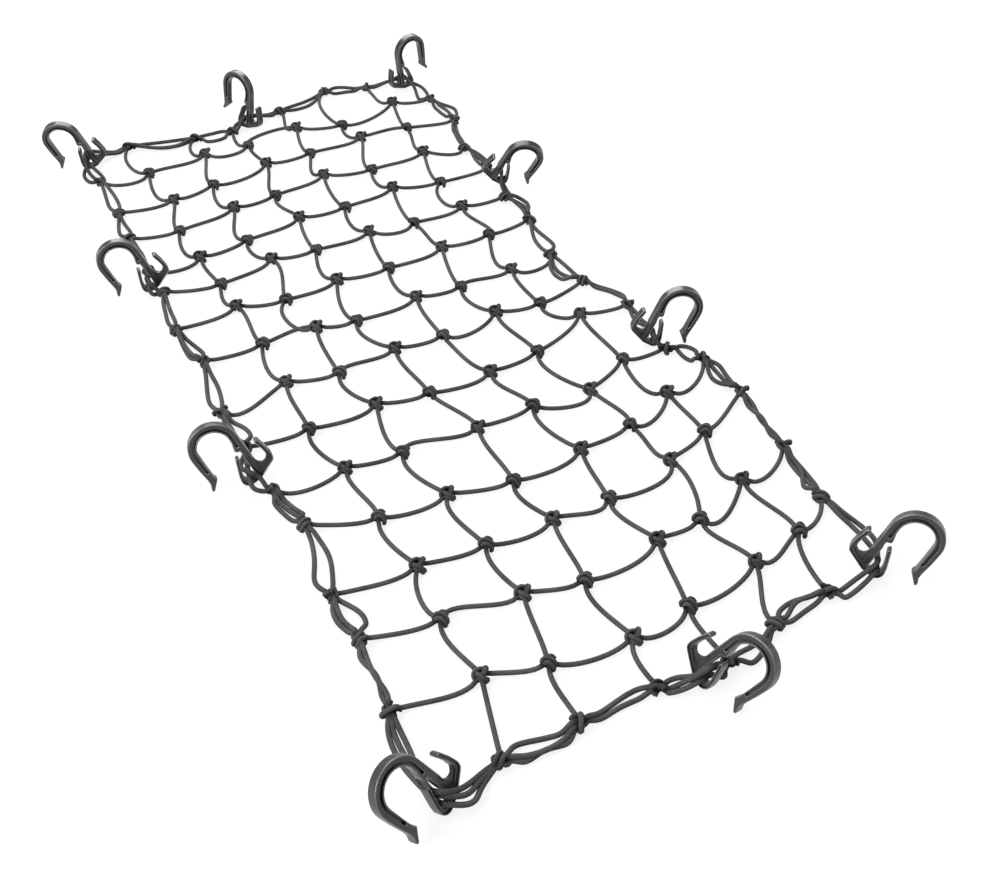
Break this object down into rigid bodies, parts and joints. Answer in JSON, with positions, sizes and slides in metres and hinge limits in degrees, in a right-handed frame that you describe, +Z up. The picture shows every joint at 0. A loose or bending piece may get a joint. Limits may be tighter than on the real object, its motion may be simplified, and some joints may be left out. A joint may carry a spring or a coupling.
{
  "type": "cargo net",
  "caption": "Elastic cargo net lying flat: knotted square mesh of round cord, doubled border cord, open moulded hooks round the edge.",
  "frame": {"origin": "middle of the outer box, on the surface that the net lies on", "axes": "+Y along the net's length, from the end nearer the viewer in the picture to the other; +Z up; +X to the right, seen from above"},
  "size_m": [0.453, 0.9074, 0.0609],
  "materials": {
    "cord": "matt braided sleeve",
    "hook": "satin moulded"
  },
  "bodies": {
    "root": {"netting": "cord", "border_cord": "cord", "hook_01": "hook", "hook_02": "hook", "hook_03": "hook", "hook_04": "hook", "hook_05": "hook", "hook_06": "hook", "hook_07": "hook", "hook_08": "hook", "hook_09": "hook", "hook_10": "hook"}
  },
  "joints": []
}
